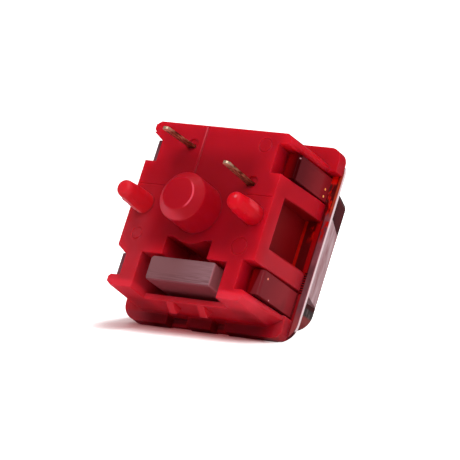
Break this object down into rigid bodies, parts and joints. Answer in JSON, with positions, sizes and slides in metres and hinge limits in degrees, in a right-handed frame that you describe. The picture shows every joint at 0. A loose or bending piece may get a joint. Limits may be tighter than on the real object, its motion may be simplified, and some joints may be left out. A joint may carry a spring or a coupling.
{
  "type": "mechanical keyboard switch",
  "caption": "Plate-mount keyboard switch with a cross stem, light guide, coil spring, leaf contact, centre post and locating pegs.",
  "frame": {"origin": "centre of the bottom housing's underside, on the axis of the centre post, where the switch meets the circuit board", "axes": "+Z along the stem towards the keycap, +Y towards the side with the two solder pins, -Y towards the light guide, +X to the right seen from +Z with +Y up"},
  "size_m": [0.0154, 0.0157, 0.0191],
  "materials": {
    "housing_plastic": "red nylon, slightly glossy",
    "cover_plastic": "smoky burgundy, see-through",
    "guide_plastic": "clear, tinted mauve by what lies behind it",
    "stem_plastic": "low-friction plastic",
    "spring_wire": "bright drawn wire",
    "contact_copper": "phosphor bronze sheet",
    "contact_gold": "gold alloy"
  },
  "bodies": {
    "housing": {"bottom_housing": "housing_plastic", "top_housing": "cover_plastic", "light_guide": "guide_plastic", "fixed_terminal": "contact_copper", "moving_terminal": "contact_copper", "fixed_contact_point": "contact_gold", "return_spring": "spring_wire"},
    "plunger": {"stem": "stem_plastic"},
    "leaf": {"contact_leaf": "contact_copper", "moving_contact_point": "contact_gold"}
  },
  "joints": [
    {"name": "stem_press", "type": "slide", "parent": "housing", "child": "plunger", "axis": [0, 0, -1], "range_m": [0, 0.004], "stiffness_N_per_m": 75, "springref_m": -0.004, "deforming": ["return_spring"]},
    {"name": "leaf_flex", "type": "hinge", "parent": "housing", "child": "leaf", "pos_m": [-0.0043, 0.0043, 0.005], "axis": [0, 0, 1], "range_deg": [0, 2.6]}
  ],
  "couplings": [
    {"joint": "leaf_flex", "follows": "stem_press", "rad_per_m": 11}
  ]
}
